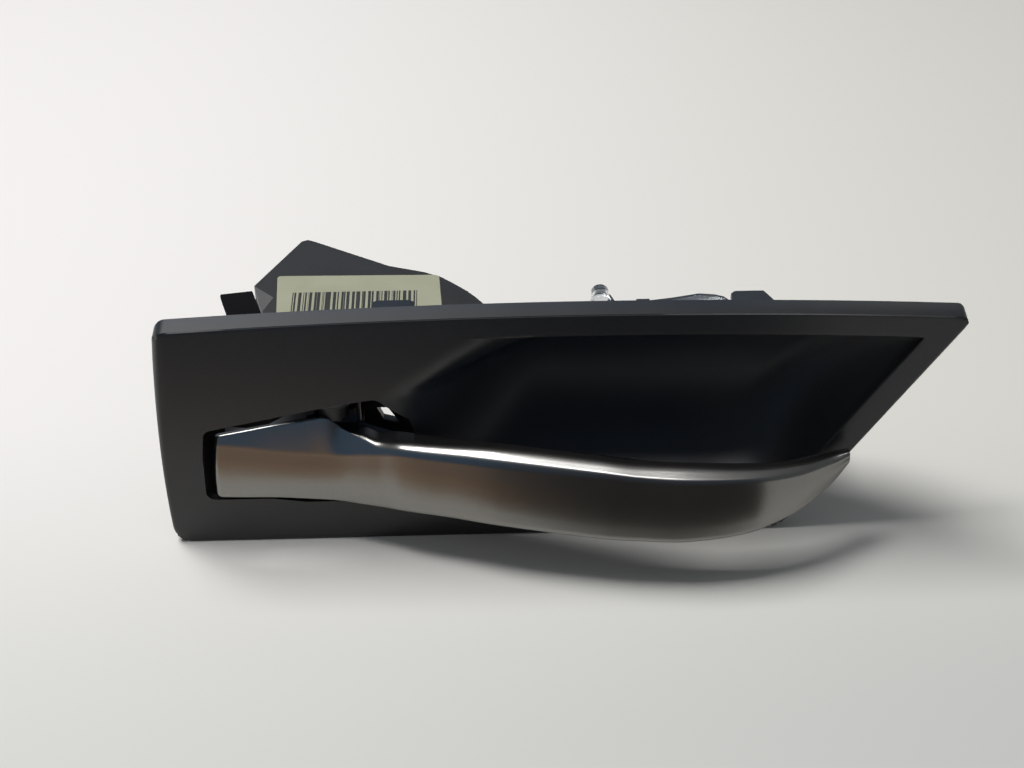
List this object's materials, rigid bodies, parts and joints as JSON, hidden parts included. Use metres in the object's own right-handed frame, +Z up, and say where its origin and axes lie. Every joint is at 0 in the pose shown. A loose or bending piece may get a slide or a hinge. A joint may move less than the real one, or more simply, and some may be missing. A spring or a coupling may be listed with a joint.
{
  "type": "car interior door handle",
  "caption": "Interior door release: black bezel with a finger bowl and slanted end, satin pull lever hinged on a vertical pin, return spring and rear carrier",
  "frame": {"origin": "on the surface it stands on, under the middle of its length and depth", "axes": "+X along the bezel towards the slanted end, +Y into the door, +Z up"},
  "size_m": [0.2017, 0.064, 0.0713],
  "materials": {
    "black_plastic": "fine grain",
    "carrier_plastic": "plain moulded",
    "satin_metal": "satin",
    "core_plastic": "plain moulded",
    "steel": "plain",
    "bush_plastic": "plain",
    "rubber": "matt",
    "clear_plastic": "clear moulded",
    "label_film": "printed film, bare",
    "felt": "felt",
    "brass": "plain"
  },
  "bodies": {
    "housing": {"bezel": "black_plastic", "carrier": "carrier_plastic", "pivot_pin": "steel", "pin_clip": "steel", "thrust_washer": "steel", "return_spring": "steel", "rest_bumper": "rubber", "open_bumper": "rubber", "light_guide": "clear_plastic", "label": "label_film", "felt_pad": "felt", "carrier_screws": "steel", "fixing_inserts": "brass"},
    "lever": {"lever_shell": "satin_metal", "lever_core": "core_plastic", "upper_bush": "bush_plastic", "lower_bush": "bush_plastic", "shell_screws": "steel"}
  },
  "joints": [
    {"name": "lever_pull", "type": "hinge", "parent": "housing", "child": "lever", "pos_m": [-0.05683, -0.0021, 0.028], "axis": [0, 0, -1], "range_deg": [0, 32], "stiffness_Nm_per_rad": 0.25, "springref_deg": -28.65, "deforming": ["return_spring"]}
  ]
}
